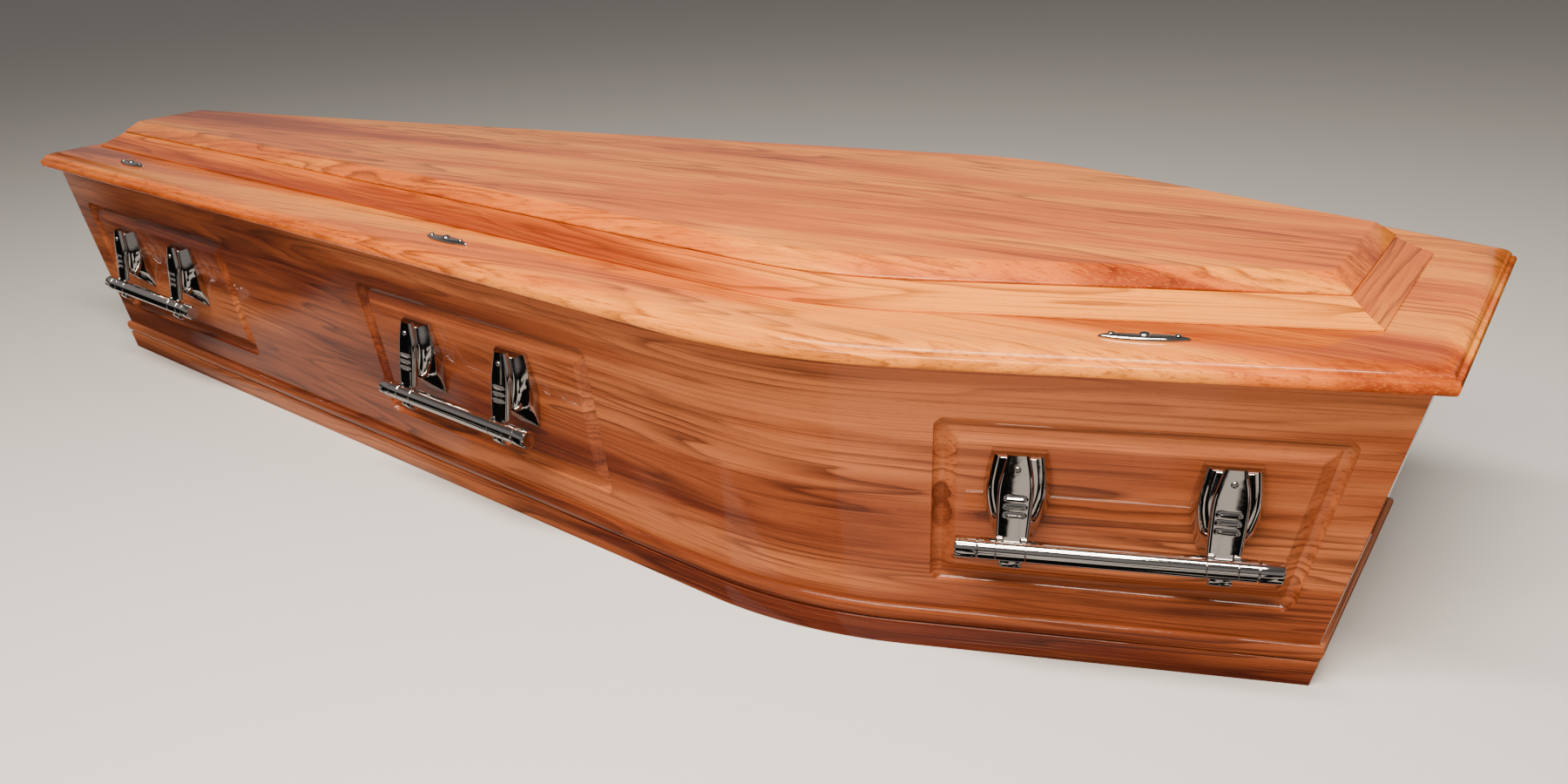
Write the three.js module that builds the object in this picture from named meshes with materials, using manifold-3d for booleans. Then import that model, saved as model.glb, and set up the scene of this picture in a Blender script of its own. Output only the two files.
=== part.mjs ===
// Shouldered wooden coffin with a raised lid, routed side panels and six bar handles.
// Units are millimetres. X runs along the coffin with the head end at +X, Z is up,
// and the origin is the middle of the footprint on the surface it stands on.

import * as THREE from 'three';
import * as BufferGeometryUtils from 'three/addons/utils/BufferGeometryUtils.js';
import Module from 'manifold-3d';

const wasm = await Module();
wasm.setup();

// Plan of the coffin, measured over the edge of the lid
const LENGTH = 2000;
const FOOT_WIDTH = 360;
const SHOULDER_WIDTH = 744;
const HEAD_WIDTH = 384;
const SHOULDER_FROM_HEAD = 504;
const SHOULDER_RADIUS = 500;
const SHOULDER_STEPS = 8;

// Walls and floor
const WALL_HEIGHT = 298;
const WALL = 18;
const FLOOR = 16;
const GAP = 0.3;
const MITRE_GAP = 0.2;
const LID_OVERHANG = { side: 17, foot: 28, head: 17 };
const WALL_LEAN = { side: 31, foot: 20, head: 45 };

// Routed panels in the side boards. The foot panel is placed from the foot corner and the other
// two from the line where the stretches of the side would meet at the shoulder.
const PANEL_HEIGHT = 172;
const PANEL_CENTRE_HEIGHT = 164;
const FOOT_PANEL_LENGTH = 415;
const FOOT_PANEL_MARGIN = 35;
const MIDDLE_PANEL_LENGTH = 415;
const MIDDLE_PANEL_MARGIN = 249.5;
const HEAD_PANEL_LENGTH = 330;
const HEAD_PANEL_MARGIN = 132;
const PANEL_CORNER = 12;
const GROOVE_DEPTH = 8;
const COVE_WIDTH = 9.5;
const BEVEL_WIDTH = 12.5;

// Plinth moulding around the foot of the walls
const PLINTH_HEIGHT = 45;
const PLINTH_BAND_HEIGHT = 28;
const PLINTH_BAND = 5.5;
const PLINTH_BEAD = 6.5;
const PLINTH_QUIRK = 2.2;
const PLINTH_LIP = 1.5;

// Lid board with its moulded edge: a bead, a small fillet and a broad ovolo
const LID_BOARD = 20;
const BEAD_HEIGHT = 10.8;
const BEAD_WIDTH = 2.5;
const FILLET = 0.8;
const OVOLO_START = 5;
const OVOLO_END = 26;

// Raised part of the lid: a coved sloping frame and a bevelled top panel
const FRAME_INSET = { side: 85, foot: 40, head: 67 };
const FRAME_WIDTH = 31;
const FRAME_RISE = 18;
const FRAME_LIP = 2;
const FRAME_COVE = 1.2;
const FRAME_LEDGE = 25;
const TOP_PANEL_SETBACK = 1.5;
const TOP_PANEL_BEVEL = 18.5;
const TOP_PANEL_THICKNESS = 15;
const TOP_PANEL_LIP = 2;

// Lid fasteners: a boat-shaped plate with a domed screw in its middle and a stud at each tip
const FASTENER_LENGTH = 73;
const FASTENER_WIDTH = 16;
const FASTENER_RISE = 3.6;
const FASTENER_INSET = 43;
const FASTENER_FROM_FOOT = 239;
const FASTENER_FROM_SHOULDER = 488;
const FASTENER_FROM_HEAD = 228;
const STUD_RADIUS = 3;
const STUD_SPACING = 52;
const SCREW_RADIUS = 5;

// Handles: a shield-shaped back plate, an arm that leans out from its top, and a round bar.
// Heights on a handle are counted up the wall from the middle of its bar.
const BAR_HEIGHT = 146;
const BAR_STAND_OFF = 40;
const BAR_LENGTH = 270;
const BAR_RADIUS = 9.75;
const BAR_CHAMFER = 1.5;
const ROD_RADIUS = 6;
const ARM_SPACING = 173;
const HEAD_HANDLE_FROM_SHOULDER = 293;
const ARM_WIDTH = 30;
const ARM_THICKNESS = 6;
const ARM_TOP = 82;
const ARM_TOP_STAND_OFF = 16;
const ARM_CHAMFER = 2;
const ARM_CROWN_SHARE = 0.6;
const TONGUE_WIDTH = 15;
const TONGUE_TOP = 12;
const BARREL_LENGTH = 25;
const KEEPER_RADIUS = 7;
const KEEPER_LENGTH = 19;
const KEEPER_DROP = 10;
const PLATE_WIDTH = 58;
const PLATE_FOOT_WIDTH = 34;
const PLATE_FOOT = -10;
const PLATE_TOP = 79;
const PLATE_WIDEST_AT = 45;
const PLATE_CROWN_SHARE = 0.8;
const PLATE_FOOT_DEPTH = 6;
const WEDGE_SHARE = 0.6;
const WEDGE_DROP = 6;
const ROUND_SEGMENTS = 10;

// Materials
const lacqueredWood = (color) => new THREE.MeshStandardMaterial({ color, roughness: 0.18, metalness: 0 });
const chrome = () => new THREE.MeshStandardMaterial({ color: 0xd8d6d2, roughness: 0.08, metalness: 1 });
const SIDE_COLOUR = 0xb0663a;
const LID_COLOUR = 0xd9925a;
const PLAIN_COLOUR = 0xa5683f;

const coffin = new THREE.Group();

function addMesh(name, geometry, material, parent = coffin) {
  const mesh = new THREE.Mesh(geometry, material);
  mesh.name = name;
  parent.add(mesh);
  return mesh;
}

// Closed body through a row of rings of equal length. The first and last ring are capped,
// or joined to each other when loop is true. Faces are turned to point out at the end.
function loft(rings, loop = false) {
  const size = rings[0].length;
  const positions = rings.flatMap((ring) => ring.flatMap((p) => [p.x, p.y, p.z]));
  const index = [];
  const last = loop ? rings.length : rings.length - 1;
  for (let r = 0; r < last; r++) {
    const a = r * size;
    const b = ((r + 1) % rings.length) * size;
    for (let i = 0; i < size; i++) {
      const j = (i + 1) % size;
      index.push(a + i, a + j, b + j, a + i, b + j, b + i);
    }
  }
  if (!loop) {
    for (const face of capFaces(rings[0])) {
      index.push(face[2], face[1], face[0]);
    }
    const top = (rings.length - 1) * size;
    for (const face of capFaces(rings[rings.length - 1])) {
      index.push(top + face[0], top + face[1], top + face[2]);
    }
  }
  const geometry = new THREE.BufferGeometry();
  geometry.setAttribute('position', new THREE.Float32BufferAttribute(positions, 3));
  geometry.setIndex(signedVolume(positions, index) < 0 ? index.reverse() : index);
  return geometry;
}

// Triangles that fill one flat ring, worked out in the ring's own plane
function capFaces(ring) {
  const normal = new THREE.Vector3();
  ring.forEach((p, i) => normal.add(p.clone().cross(ring[(i + 1) % ring.length])));
  normal.normalize();
  const across = ring[1].clone().sub(ring[0]).normalize();
  const up = normal.clone().cross(across);
  const flat = ring.map((p) => new THREE.Vector2(p.dot(across), p.dot(up)));
  return THREE.ShapeUtils.triangulateShape(flat, []);
}

function signedVolume(positions, index) {
  const point = (i) => new THREE.Vector3().fromArray(positions, 3 * i);
  let sum = 0;
  for (let i = 0; i < index.length; i += 3) {
    sum += point(index[i]).dot(point(index[i + 1]).cross(point(index[i + 2])));
  }
  return sum;
}

function toSolid(geometry) {
  const bare = geometry.clone();
  bare.deleteAttribute('normal');
  bare.deleteAttribute('uv');
  const merged = BufferGeometryUtils.mergeVertices(bare, 1e-4);
  return new wasm.Manifold(new wasm.Mesh({
    numProp: 3,
    vertProperties: new Float32Array(merged.attributes.position.array),
    triVerts: new Uint32Array(merged.index.array),
  }));
}

function toGeometry(solid) {
  const mesh = solid.getMesh();
  const geometry = new THREE.BufferGeometry();
  geometry.setAttribute('position', new THREE.Float32BufferAttribute(mesh.vertProperties, 3));
  geometry.setIndex([...mesh.triVerts]);
  return geometry;
}

// Plan geometry of the near long side, which lies at -Y. The two straight stretches meet at
// the shoulder, where one arc rounds every line that runs parallel to them.
const footCorner = new THREE.Vector2(-LENGTH / 2, -FOOT_WIDTH / 2);
const shoulder = new THREE.Vector2(LENGTH / 2 - SHOULDER_FROM_HEAD, -SHOULDER_WIDTH / 2);
const headCorner = new THREE.Vector2(LENGTH / 2, -HEAD_WIDTH / 2);

function stretch(from, to) {
  const along = to.clone().sub(from).normalize();
  return { from, along, inward: new THREE.Vector2(-along.y, along.x), angle: Math.atan2(along.y, along.x) };
}
const footStretch = stretch(footCorner, shoulder);
const headStretch = stretch(shoulder, headCorner);

const halfTurn = (headStretch.angle - footStretch.angle) / 2;
const bisector = footStretch.inward.clone().add(headStretch.inward).normalize();
const arcCentre = shoulder.clone().addScaledVector(bisector, SHOULDER_RADIUS / Math.cos(halfTurn));

// Point on a stretch moved inward, where it reaches the cross line at x
function pointAtX(line, inset, x) {
  const start = line.from.clone().addScaledVector(line.inward, inset);
  return start.addScaledVector(line.along, (x - start.x) / line.along.x);
}

// Line along one long side at the given insets, from the foot corner to the head corner.
// trim pulls both ends back along the side, and far gives the same line at +Y.
function sideLine(inset, trim = 0, far = false) {
  const start = pointAtX(footStretch, inset.side, -LENGTH / 2 + inset.foot);
  const end = pointAtX(headStretch, inset.side, LENGTH / 2 - inset.head);
  start.addScaledVector(footStretch.along, trim);
  end.addScaledVector(headStretch.along, -trim);
  const points = [start];
  for (let i = 0; i <= SHOULDER_STEPS; i++) {
    const turn = footStretch.angle + (2 * halfTurn * i) / SHOULDER_STEPS - Math.PI / 2;
    const radius = SHOULDER_RADIUS - inset.side;
    const spoke = new THREE.Vector2(Math.cos(turn), Math.sin(turn));
    points.push(arcCentre.clone().addScaledVector(spoke, radius));
  }
  points.push(end);
  return far ? points.map((p) => new THREE.Vector2(p.x, -p.y)) : points;
}

// Line across one end, from the near corner to the far corner
function endLine(inset, head, trim = 0) {
  const near = head
    ? pointAtX(headStretch, inset.side, LENGTH / 2 - inset.head)
    : pointAtX(footStretch, inset.side, -LENGTH / 2 + inset.foot);
  near.y += trim;
  return [near, new THREE.Vector2(near.x, -near.y)];
}

const lift = (points, z) => points.map((p) => new THREE.Vector3(p.x, p.y, z));

// Whole outline of the coffin at the given insets
function outline(inset, z) {
  return lift([...sideLine(inset), ...sideLine(inset, 0, true).reverse()], z);
}

// A strip that follows one side or end. Its section is a list of { inset, z } corners.
function strip(section, lineOf) {
  const lines = section.map((corner) => lift(lineOf(corner.inset), corner.z));
  const rings = lines[0].map((_, station) => lines.map((line) => line[station]));
  return loft(rings);
}

// The four strips of a frame, mitred at the corners with a narrow open joint
function frameStrips(section, names, material) {
  const trim = MITRE_GAP;
  addMesh(names.near, strip(section, (inset) => sideLine(inset, trim)), material());
  addMesh(names.far, strip(section, (inset) => sideLine(inset, trim, true)), material());
  addMesh(names.foot, strip(section, (inset) => endLine(inset, false, trim)), material());
  addMesh(names.head, strip(section, (inset) => endLine(inset, true, trim)), material());
}

const mapInset = (inset, change) => ({
  side: change(inset.side, 'side'),
  foot: change(inset.foot, 'foot'),
  head: change(inset.head, 'head'),
});
const even = (amount) => ({ side: amount, foot: amount, head: amount });

// Outer face of the walls at height z, moved out by the given amount
function wallInset(z, out = 0) {
  return mapInset(LID_OVERHANG, (over, part) => over + WALL_LEAN[part] * (1 - z / WALL_HEIGHT) - out);
}

// Floor, set between the walls
addMesh(
  'floor_board',
  loft([0, FLOOR].map((z) => outline(wallInset(z, -WALL - GAP), z))),
  lacqueredWood(PLAIN_COLOUR),
);

// Wall frames: a group whose x axis runs along the wall, whose -y axis points out of it
// and whose z axis climbs it. Distances along are taken on the bottom line of the wall.
const leanAngle = Math.atan2(WALL_LEAN.side, WALL_HEIGHT);
const bottomFoot = sideLine(wallInset(0))[0];
const bottomShoulder = pointAtX(
  footStretch,
  wallInset(0).side,
  arcCentre.x - bisector.x * (SHOULDER_RADIUS - wallInset(0).side) / Math.cos(halfTurn),
);

function wallGroup(line, origin, along, height, far) {
  const foot = origin.clone().addScaledVector(line.along, along);
  const turned = new THREE.Group();
  turned.position.set(foot.x, far ? -foot.y : foot.y, 0);
  turned.rotation.z = far ? Math.PI - line.angle : line.angle;
  const leaned = new THREE.Group();
  leaned.rotation.x = leanAngle;
  const placed = new THREE.Group();
  placed.position.z = height;
  turned.add(leaned);
  leaned.add(placed);
  coffin.add(turned);
  turned.updateMatrixWorld(true);
  return placed;
}

const bays = [
  {
    name: 'foot',
    length: FOOT_PANEL_LENGTH,
    line: footStretch,
    origin: bottomFoot,
    along: FOOT_PANEL_MARGIN + FOOT_PANEL_LENGTH / 2,
    handleAlong: FOOT_PANEL_MARGIN + FOOT_PANEL_LENGTH / 2,
    slantedEnd: -1,
  },
  {
    name: 'middle',
    length: MIDDLE_PANEL_LENGTH,
    line: footStretch,
    origin: bottomShoulder,
    along: -MIDDLE_PANEL_MARGIN - MIDDLE_PANEL_LENGTH / 2,
    handleAlong: -MIDDLE_PANEL_MARGIN - MIDDLE_PANEL_LENGTH / 2,
    slantedEnd: 0,
  },
  {
    name: 'head',
    length: HEAD_PANEL_LENGTH,
    line: headStretch,
    origin: bottomShoulder,
    along: HEAD_PANEL_MARGIN + HEAD_PANEL_LENGTH / 2,
    handleAlong: HEAD_HANDLE_FROM_SHOULDER,
    slantedEnd: 1,
  },
];

// How far the end of a wall leans out along the wall for each millimetre up its slope
function endSlope(line, head) {
  const at = (z) => endLine(wallInset(z), head)[0].dot(line.along);
  return (at(WALL_HEIGHT) - at(0)) / Math.hypot(WALL_HEIGHT, WALL_LEAN.side);
}

// Rectangle with round corners, in the plane of the wall, at a depth below its face. The end
// next to a corner of the coffin is slanted so that it runs parallel to the corner.
function panelRing(bay, inset, depth, far) {
  const { length, slantedEnd } = bay;
  const slope = slantedEnd === 0 ? 0 : endSlope(bay.line, slantedEnd > 0);
  const halfLength = length / 2 - inset;
  const halfHeight = PANEL_HEIGHT / 2 - inset;
  const radius = Math.max(PANEL_CORNER - inset, 0.5);
  const ring = [];
  const corners = [[1, 1], [-1, 1], [-1, -1], [1, -1]];
  corners.forEach(([right, up], quarter) => {
    for (let i = 0; i <= 3; i++) {
      const angle = (quarter + i / 3) * Math.PI / 2;
      const x = right * (halfLength - radius) + radius * Math.cos(angle);
      const z = up * (halfHeight - radius) + radius * Math.sin(angle);
      const share = (1 + (slantedEnd * x) / (length / 2)) / 2;
      const slanted = x + slope * z * share;
      ring.push(new THREE.Vector3(far ? -slanted : slanted, depth, z));
    }
  });
  return ring;
}

// The groove around a panel: a steep cove down from the outside, then a bevel up to the field
function grooveCutter(bay, far) {
  const clear = 2;
  const groove = [[0, -clear], [0, 0]];
  for (let i = 1; i <= 3; i++) {
    const turn = (i / 3) * Math.PI / 2;
    groove.push([COVE_WIDTH * (1 - Math.cos(turn)), GROOVE_DEPTH * Math.sin(turn)]);
  }
  groove.push([COVE_WIDTH + BEVEL_WIDTH, 0], [COVE_WIDTH + BEVEL_WIDTH, -clear]);
  return loft(groove.map(([inset, depth]) => panelRing(bay, inset, depth, far)), true);
}

function sideBoard(far) {
  const section = [
    { inset: wallInset(0), z: 0 },
    { inset: wallInset(0, -WALL), z: 0 },
    { inset: wallInset(WALL_HEIGHT, -WALL), z: WALL_HEIGHT },
    { inset: wallInset(WALL_HEIGHT), z: WALL_HEIGHT },
  ];
  let board = toSolid(strip(section, (inset) => sideLine(inset, MITRE_GAP, far)));
  for (const bay of bays) {
    const place = wallGroup(bay.line, bay.origin, bay.along, PANEL_CENTRE_HEIGHT, far);
    board = board.subtract(toSolid(grooveCutter(bay, far).applyMatrix4(place.matrixWorld)));
  }
  return toGeometry(board);
}

function endBoard(head) {
  const section = [
    { inset: wallInset(0), z: 0 },
    { inset: wallInset(0, -WALL), z: 0 },
    { inset: wallInset(WALL_HEIGHT, -WALL), z: WALL_HEIGHT },
    { inset: wallInset(WALL_HEIGHT), z: WALL_HEIGHT },
  ];
  return strip(section, (inset) => endLine(inset, head, MITRE_GAP));
}

addMesh('near_side_board', sideBoard(false), lacqueredWood(SIDE_COLOUR));
addMesh('far_side_board', sideBoard(true), lacqueredWood(SIDE_COLOUR));
addMesh('foot_end_board', endBoard(false), lacqueredWood(SIDE_COLOUR));
addMesh('head_end_board', endBoard(true), lacqueredWood(SIDE_COLOUR));

// Plinth moulding: a tall band with a round top edge, a quirk, and a bead above it
function plinthSection() {
  const corner = (out, z) => ({ inset: wallInset(z, out + GAP), z });
  const bandEdge = PLINTH_BAND - PLINTH_QUIRK;
  const section = [corner(0, 0), corner(PLINTH_BAND, 0)];
  for (let i = 0; i <= 3; i++) {
    const turn = (i / 3) * Math.PI / 2;
    const out = PLINTH_QUIRK + bandEdge * Math.cos(turn);
    section.push(corner(out, PLINTH_BAND_HEIGHT - bandEdge * (1 - Math.sin(turn))));
  }
  const beadRadius = (PLINTH_HEIGHT - PLINTH_BAND_HEIGHT) / 2;
  for (let i = 1; i <= 4; i++) {
    const turn = (i / 4 - 0.5) * Math.PI;
    const out = PLINTH_QUIRK + (PLINTH_BEAD - PLINTH_QUIRK) * Math.cos(turn);
    section.push(corner(i === 4 ? PLINTH_LIP : out, PLINTH_BAND_HEIGHT + beadRadius * (1 + Math.sin(turn))));
  }
  section.push(corner(0, PLINTH_HEIGHT));
  return section;
}

frameStrips(
  plinthSection(),
  { near: 'near_plinth', far: 'far_plinth', foot: 'foot_plinth', head: 'head_plinth' },
  () => lacqueredWood(SIDE_COLOUR),
);

// Lid board with its moulded edge
const lidBottom = WALL_HEIGHT + GAP;
const lidTop = lidBottom + LID_BOARD;

function lidBoard() {
  const rings = [];
  const ring = (inset, rise) => rings.push(outline(even(inset), lidBottom + rise));
  for (let i = 0; i <= 6; i++) {
    const turn = (i / 6 - 0.5) * Math.PI;
    ring(BEAD_WIDTH * (1 - Math.cos(turn)), (BEAD_HEIGHT / 2) * (1 + Math.sin(turn)));
  }
  const ovoloFoot = BEAD_HEIGHT + FILLET;
  for (let i = 0; i <= 4; i++) {
    const turn = (i / 4) * Math.PI / 2;
    const inset = OVOLO_END - (OVOLO_END - OVOLO_START) * Math.cos(turn);
    ring(inset, ovoloFoot + (LID_BOARD - ovoloFoot) * Math.sin(turn));
  }
  return loft(rings);
}

addMesh('lid_board', lidBoard(), lacqueredWood(LID_COLOUR));

// Sloping frame on the lid board, with a flat ledge that carries the top panel
const frameBottom = lidTop + GAP;
const frameTop = frameBottom + FRAME_RISE;
const fromToe = (amount) => mapInset(FRAME_INSET, (inset) => inset + amount);
const frameSection = [
  { inset: fromToe(0), z: frameBottom },
  { inset: fromToe(0), z: frameBottom + FRAME_LIP },
  { inset: fromToe(FRAME_WIDTH / 2), z: frameBottom + (FRAME_LIP + FRAME_RISE) / 2 - FRAME_COVE },
  { inset: fromToe(FRAME_WIDTH), z: frameTop },
  { inset: fromToe(FRAME_WIDTH + FRAME_LEDGE), z: frameTop },
  { inset: fromToe(FRAME_WIDTH + FRAME_LEDGE), z: frameBottom },
];

frameStrips(
  frameSection,
  { near: 'near_lid_frame', far: 'far_lid_frame', foot: 'foot_lid_frame', head: 'head_lid_frame' },
  () => lacqueredWood(LID_COLOUR),
);

// Top panel with bevelled edges, set back a little from the top edge of the frame
const topPanelBottom = frameTop + GAP;
const topPanelToe = FRAME_WIDTH + TOP_PANEL_SETBACK;
addMesh(
  'lid_top_panel',
  loft([
    outline(fromToe(topPanelToe), topPanelBottom),
    outline(fromToe(topPanelToe), topPanelBottom + TOP_PANEL_LIP),
    outline(fromToe(topPanelToe + TOP_PANEL_BEVEL), topPanelBottom + TOP_PANEL_THICKNESS),
  ]),
  lacqueredWood(LID_COLOUR),
);

// Boat-shaped outline of a fastener plate, at a share of its full size
function boatRing(share, z) {
  const ring = [];
  for (const side of [-1, 1]) {
    for (let i = 0; i < 6; i++) {
      const turn = (i / 6) * Math.PI;
      const x = side * (FASTENER_LENGTH / 2) * Math.cos(turn);
      const y = side * (FASTENER_WIDTH / 2) * Math.sin(turn) ** 1.5;
      ring.push(new THREE.Vector3(x * share, y * share, z));
    }
  }
  return ring;
}

function fastener() {
  const studs = [
    { x: -STUD_SPACING / 2, radius: STUD_RADIUS },
    { x: 0, radius: SCREW_RADIUS },
    { x: STUD_SPACING / 2, radius: STUD_RADIUS },
  ];
  let body = toSolid(loft([
    boatRing(1, 0),
    boatRing(1, FASTENER_RISE / 3),
    boatRing(0.75, FASTENER_RISE),
  ]));
  for (const stud of studs) {
    const dome = new THREE.SphereGeometry(stud.radius, 8, 6);
    dome.rotateX(Math.PI / 2).scale(1, 1, 0.5);
    dome.translate(stud.x, 0, FASTENER_RISE - 0.1);
    body = body.add(toSolid(dome));
  }
  return toGeometry(body);
}

const fasteners = [
  { name: 'foot', line: footStretch, x: footCorner.x + FASTENER_FROM_FOOT },
  { name: 'middle', line: footStretch, x: shoulder.x - FASTENER_FROM_SHOULDER },
  { name: 'head', line: headStretch, x: headCorner.x - FASTENER_FROM_HEAD },
];

for (const far of [false, true]) {
  for (const { name, line, x } of fasteners) {
    const place = pointAtX(line, FASTENER_INSET, x);
    const group = new THREE.Group();
    group.position.set(place.x, far ? -place.y : place.y, lidTop + GAP);
    group.rotation.z = far ? Math.PI - line.angle : line.angle;
    coffin.add(group);
    addMesh(`${far ? 'far' : 'near'}_${name}_fastener`, fastener(), chrome(), group);
  }
}

// How far the middle of an arm stands off the wall at a height above the bar
function armStandOff(height) {
  return BAR_STAND_OFF + (ARM_TOP_STAND_OFF - BAR_STAND_OFF) * (height / ARM_TOP);
}

// Shield-shaped back plate with a wedge in its middle that holds the arm out from the wall
function handlePlate() {
  const half = PLATE_WIDTH / 2;
  const foot = PLATE_FOOT_WIDTH / 2;
  const right = new THREE.SplineCurve([
    new THREE.Vector2(foot, PLATE_FOOT),
    new THREE.Vector2((foot + 2 * half) / 3, (PLATE_FOOT + PLATE_WIDEST_AT) / 2),
    new THREE.Vector2(half, PLATE_WIDEST_AT),
    new THREE.Vector2(half * PLATE_CROWN_SHARE, PLATE_TOP),
  ]).getPoints(4);
  const left = right.map((p) => new THREE.Vector2(-p.x, p.y)).reverse();
  const shrunk = (z, share) => THREE.MathUtils.lerp(PLATE_TOP - WEDGE_DROP, z, share);
  const behindArm = (z) => armStandOff(z) - ARM_THICKNESS / 2 - 2 * GAP;
  const wedgeFoot = shrunk(PLATE_FOOT, WEDGE_SHARE);
  const depthAt = (z) => (z >= wedgeFoot
    ? behindArm(z)
    : THREE.MathUtils.mapLinear(z, PLATE_FOOT, wedgeFoot, PLATE_FOOT_DEPTH, behindArm(wedgeFoot)));
  const ring = (share, depthShare) => [...right, ...left].map((p) => {
    const z = shrunk(p.y, share);
    return new THREE.Vector3(p.x * share, -GAP - depthAt(z) * depthShare, z);
  });
  return loft([ring(1, 0), ring(1, 0.35), ring(0.85, 0.85), ring(WEDGE_SHARE, 1)]);
}

// Section of an arm at one height: flat at the back, with its two front edges chamfered
function armSection(width, height) {
  const half = width / 2;
  const back = -armStandOff(height) + ARM_THICKNESS / 2;
  const front = back - ARM_THICKNESS;
  return [
    new THREE.Vector3(-half, back, height),
    new THREE.Vector3(-half, front + ARM_CHAMFER, height),
    new THREE.Vector3(-half + ARM_CHAMFER, front, height),
    new THREE.Vector3(half - ARM_CHAMFER, front, height),
    new THREE.Vector3(half, front + ARM_CHAMFER, height),
    new THREE.Vector3(half, back, height),
  ];
}

function alongBar(radius, length, standOff, height) {
  const cylinder = new THREE.CylinderGeometry(radius, radius, length, ROUND_SEGMENTS);
  return cylinder.rotateZ(Math.PI / 2).translate(0, -standOff, height);
}

// Arm with the barrel that clasps the bar, and the keeper under the barrel
function handleArm() {
  const blade = new THREE.SplineCurve([
    new THREE.Vector2(ARM_WIDTH, TONGUE_TOP),
    new THREE.Vector2(ARM_WIDTH, ARM_TOP / 2),
    new THREE.Vector2(ARM_WIDTH * ARM_CROWN_SHARE, ARM_TOP),
  ]).getPoints(6);
  let arm = toSolid(loft(blade.map((p) => armSection(p.x, p.y))));
  arm = arm.add(toSolid(loft([0, TONGUE_TOP + 1].map((z) => armSection(TONGUE_WIDTH, z)))));
  arm = arm.add(toSolid(alongBar(BAR_RADIUS, BARREL_LENGTH, BAR_STAND_OFF, 0)));
  arm = arm.add(toSolid(alongBar(KEEPER_RADIUS, KEEPER_LENGTH, BAR_STAND_OFF, -KEEPER_DROP)));
  const bore = alongBar(ROD_RADIUS + GAP, BARREL_LENGTH + 2, BAR_STAND_OFF, 0);
  return toGeometry(arm.subtract(toSolid(bore)));
}

// Bar that necks down to a rod inside each barrel
function handleBar() {
  const half = BAR_LENGTH / 2;
  const outerShoulder = (ARM_SPACING + BARREL_LENGTH) / 2 + GAP;
  const innerShoulder = (ARM_SPACING - BARREL_LENGTH) / 2 - GAP;
  const upper = [
    new THREE.Vector2(BAR_RADIUS, innerShoulder),
    new THREE.Vector2(ROD_RADIUS, innerShoulder),
    new THREE.Vector2(ROD_RADIUS, outerShoulder),
    new THREE.Vector2(BAR_RADIUS, outerShoulder),
    new THREE.Vector2(BAR_RADIUS, half - BAR_CHAMFER),
    new THREE.Vector2(BAR_RADIUS - BAR_CHAMFER, half),
    new THREE.Vector2(0, half),
  ];
  const lower = upper.map((p) => new THREE.Vector2(p.x, -p.y)).reverse();
  const bar = new THREE.LatheGeometry([...lower, ...upper], ROUND_SEGMENTS);
  bar.rotateZ(-Math.PI / 2).translate(0, -BAR_STAND_OFF, 0);
  return toGeometry(toSolid(bar));
}

for (const far of [false, true]) {
  for (const bay of bays) {
    const wall = wallGroup(bay.line, bay.origin, bay.handleAlong, BAR_HEIGHT, far);
    const title = `${far ? 'far' : 'near'}_${bay.name}_handle`;
    addMesh(`${title}_bar`, handleBar(), chrome(), wall);
    for (const end of [-1, 1]) {
      const which = (far ? -end : end) > 0 ? 'head' : 'foot';
      const plate = addMesh(`${title}_${which}_plate`, handlePlate(), chrome(), wall);
      const arm = addMesh(`${title}_${which}_arm`, handleArm(), chrome(), wall);
      plate.position.x = (end * ARM_SPACING) / 2;
      arm.position.x = (end * ARM_SPACING) / 2;
    }
  }
}

export default coffin;
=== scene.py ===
import math

import bmesh
import bpy
from mathutils import Matrix, Vector


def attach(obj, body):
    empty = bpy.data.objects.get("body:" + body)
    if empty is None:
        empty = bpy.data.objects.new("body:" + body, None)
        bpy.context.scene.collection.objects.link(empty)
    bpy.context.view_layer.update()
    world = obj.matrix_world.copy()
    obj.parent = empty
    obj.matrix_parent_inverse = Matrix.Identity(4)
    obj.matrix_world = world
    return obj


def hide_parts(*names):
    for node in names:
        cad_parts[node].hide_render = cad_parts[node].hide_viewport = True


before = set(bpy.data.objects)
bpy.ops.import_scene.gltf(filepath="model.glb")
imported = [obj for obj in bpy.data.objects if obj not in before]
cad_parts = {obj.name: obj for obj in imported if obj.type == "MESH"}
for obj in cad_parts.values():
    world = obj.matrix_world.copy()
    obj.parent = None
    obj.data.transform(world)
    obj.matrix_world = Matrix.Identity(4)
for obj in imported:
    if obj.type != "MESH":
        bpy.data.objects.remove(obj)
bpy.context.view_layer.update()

# Floor board: a plain 16 mm board between the walls, with its underside on the ground. It follows the
# plan of the coffin, in which each line is found by its inset from the edge of the lid: 2.0 m long,
# 360 mm wide at the foot, 744 mm where the two straight stretches of the long side would meet, 384 mm
# at the head, and one arc of 500 mm radius round the shoulder.
MM = 0.001
GAP = 0.3 * MM
HALF = 1.0
FOOT_CORNER = Vector((-HALF, -0.180))
SHOULDER = Vector((HALF - 0.504, -0.372))
HEAD_CORNER = Vector((HALF, -0.192))
RADIUS = 0.5
STEPS = 32
along_foot = (SHOULDER - FOOT_CORNER).normalized()
along_head = (HEAD_CORNER - SHOULDER).normalized()
in_foot = Vector((-along_foot.y, along_foot.x))
in_head = Vector((-along_head.y, along_head.x))
foot_angle = math.atan2(along_foot.y, along_foot.x)
head_angle = math.atan2(along_head.y, along_head.x)
half_turn = (head_angle - foot_angle) / 2
bisector = (in_foot + in_head).normalized()
arc_centre = SHOULDER + bisector * (RADIUS / math.cos(half_turn))
# Walls: the lid's overhang past their top and how far they lean out, at the sides, the foot and the head
WALL_TOP = 0.298
WALL = 0.018
OVERHANG = (0.017, 0.028, 0.017)
LEAN = (0.031, 0.020, 0.045)


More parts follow.
